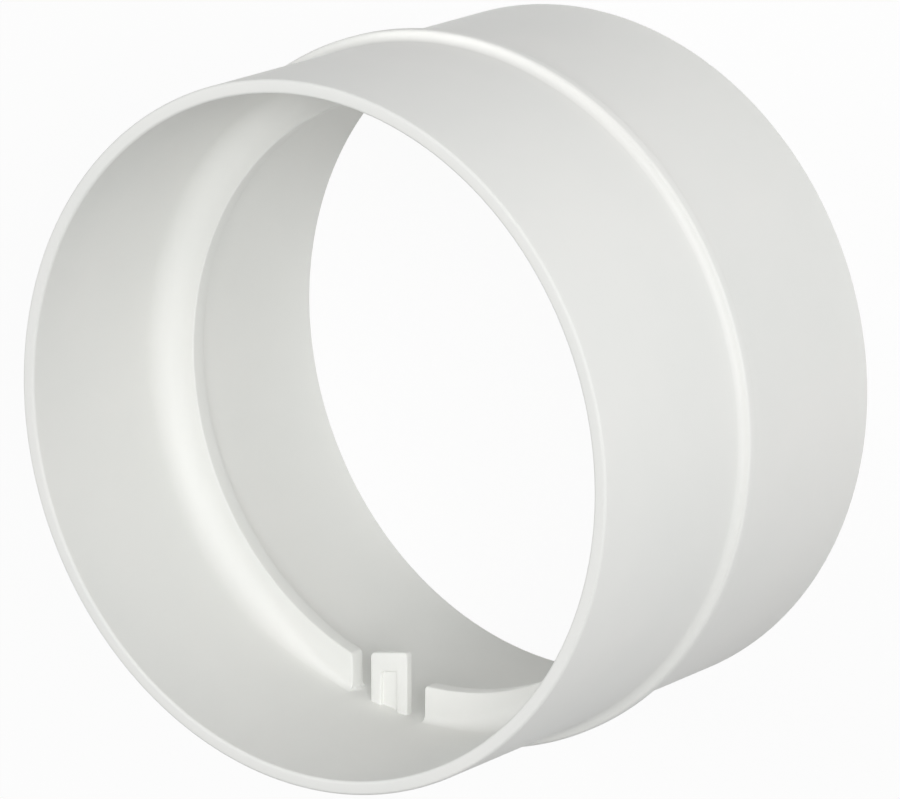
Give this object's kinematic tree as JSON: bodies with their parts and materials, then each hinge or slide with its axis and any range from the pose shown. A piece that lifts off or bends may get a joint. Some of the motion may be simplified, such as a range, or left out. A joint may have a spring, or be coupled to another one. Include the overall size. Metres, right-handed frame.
{
  "type": "duct connector",
  "caption": "Round moulded plastic duct connector: plain sleeves on either side of a raised outer bead, with a stop rib and a small notch clip inside. Joins ducts end to end.",
  "frame": {"origin": "centre of the bore at the rear rim, on which the part stands", "axes": "+Z along the bore from the rear rim to the front mouth; the clip in the stop rib is on the -Y side; +X completes the right-handed frame"},
  "size_m": [0.1024, 0.1024, 0.064],
  "materials": {
    "white_plastic": "satin moulded plastic"
  },
  "bodies": {
    "root": {"connector_body": "white_plastic"}
  },
  "joints": []
}
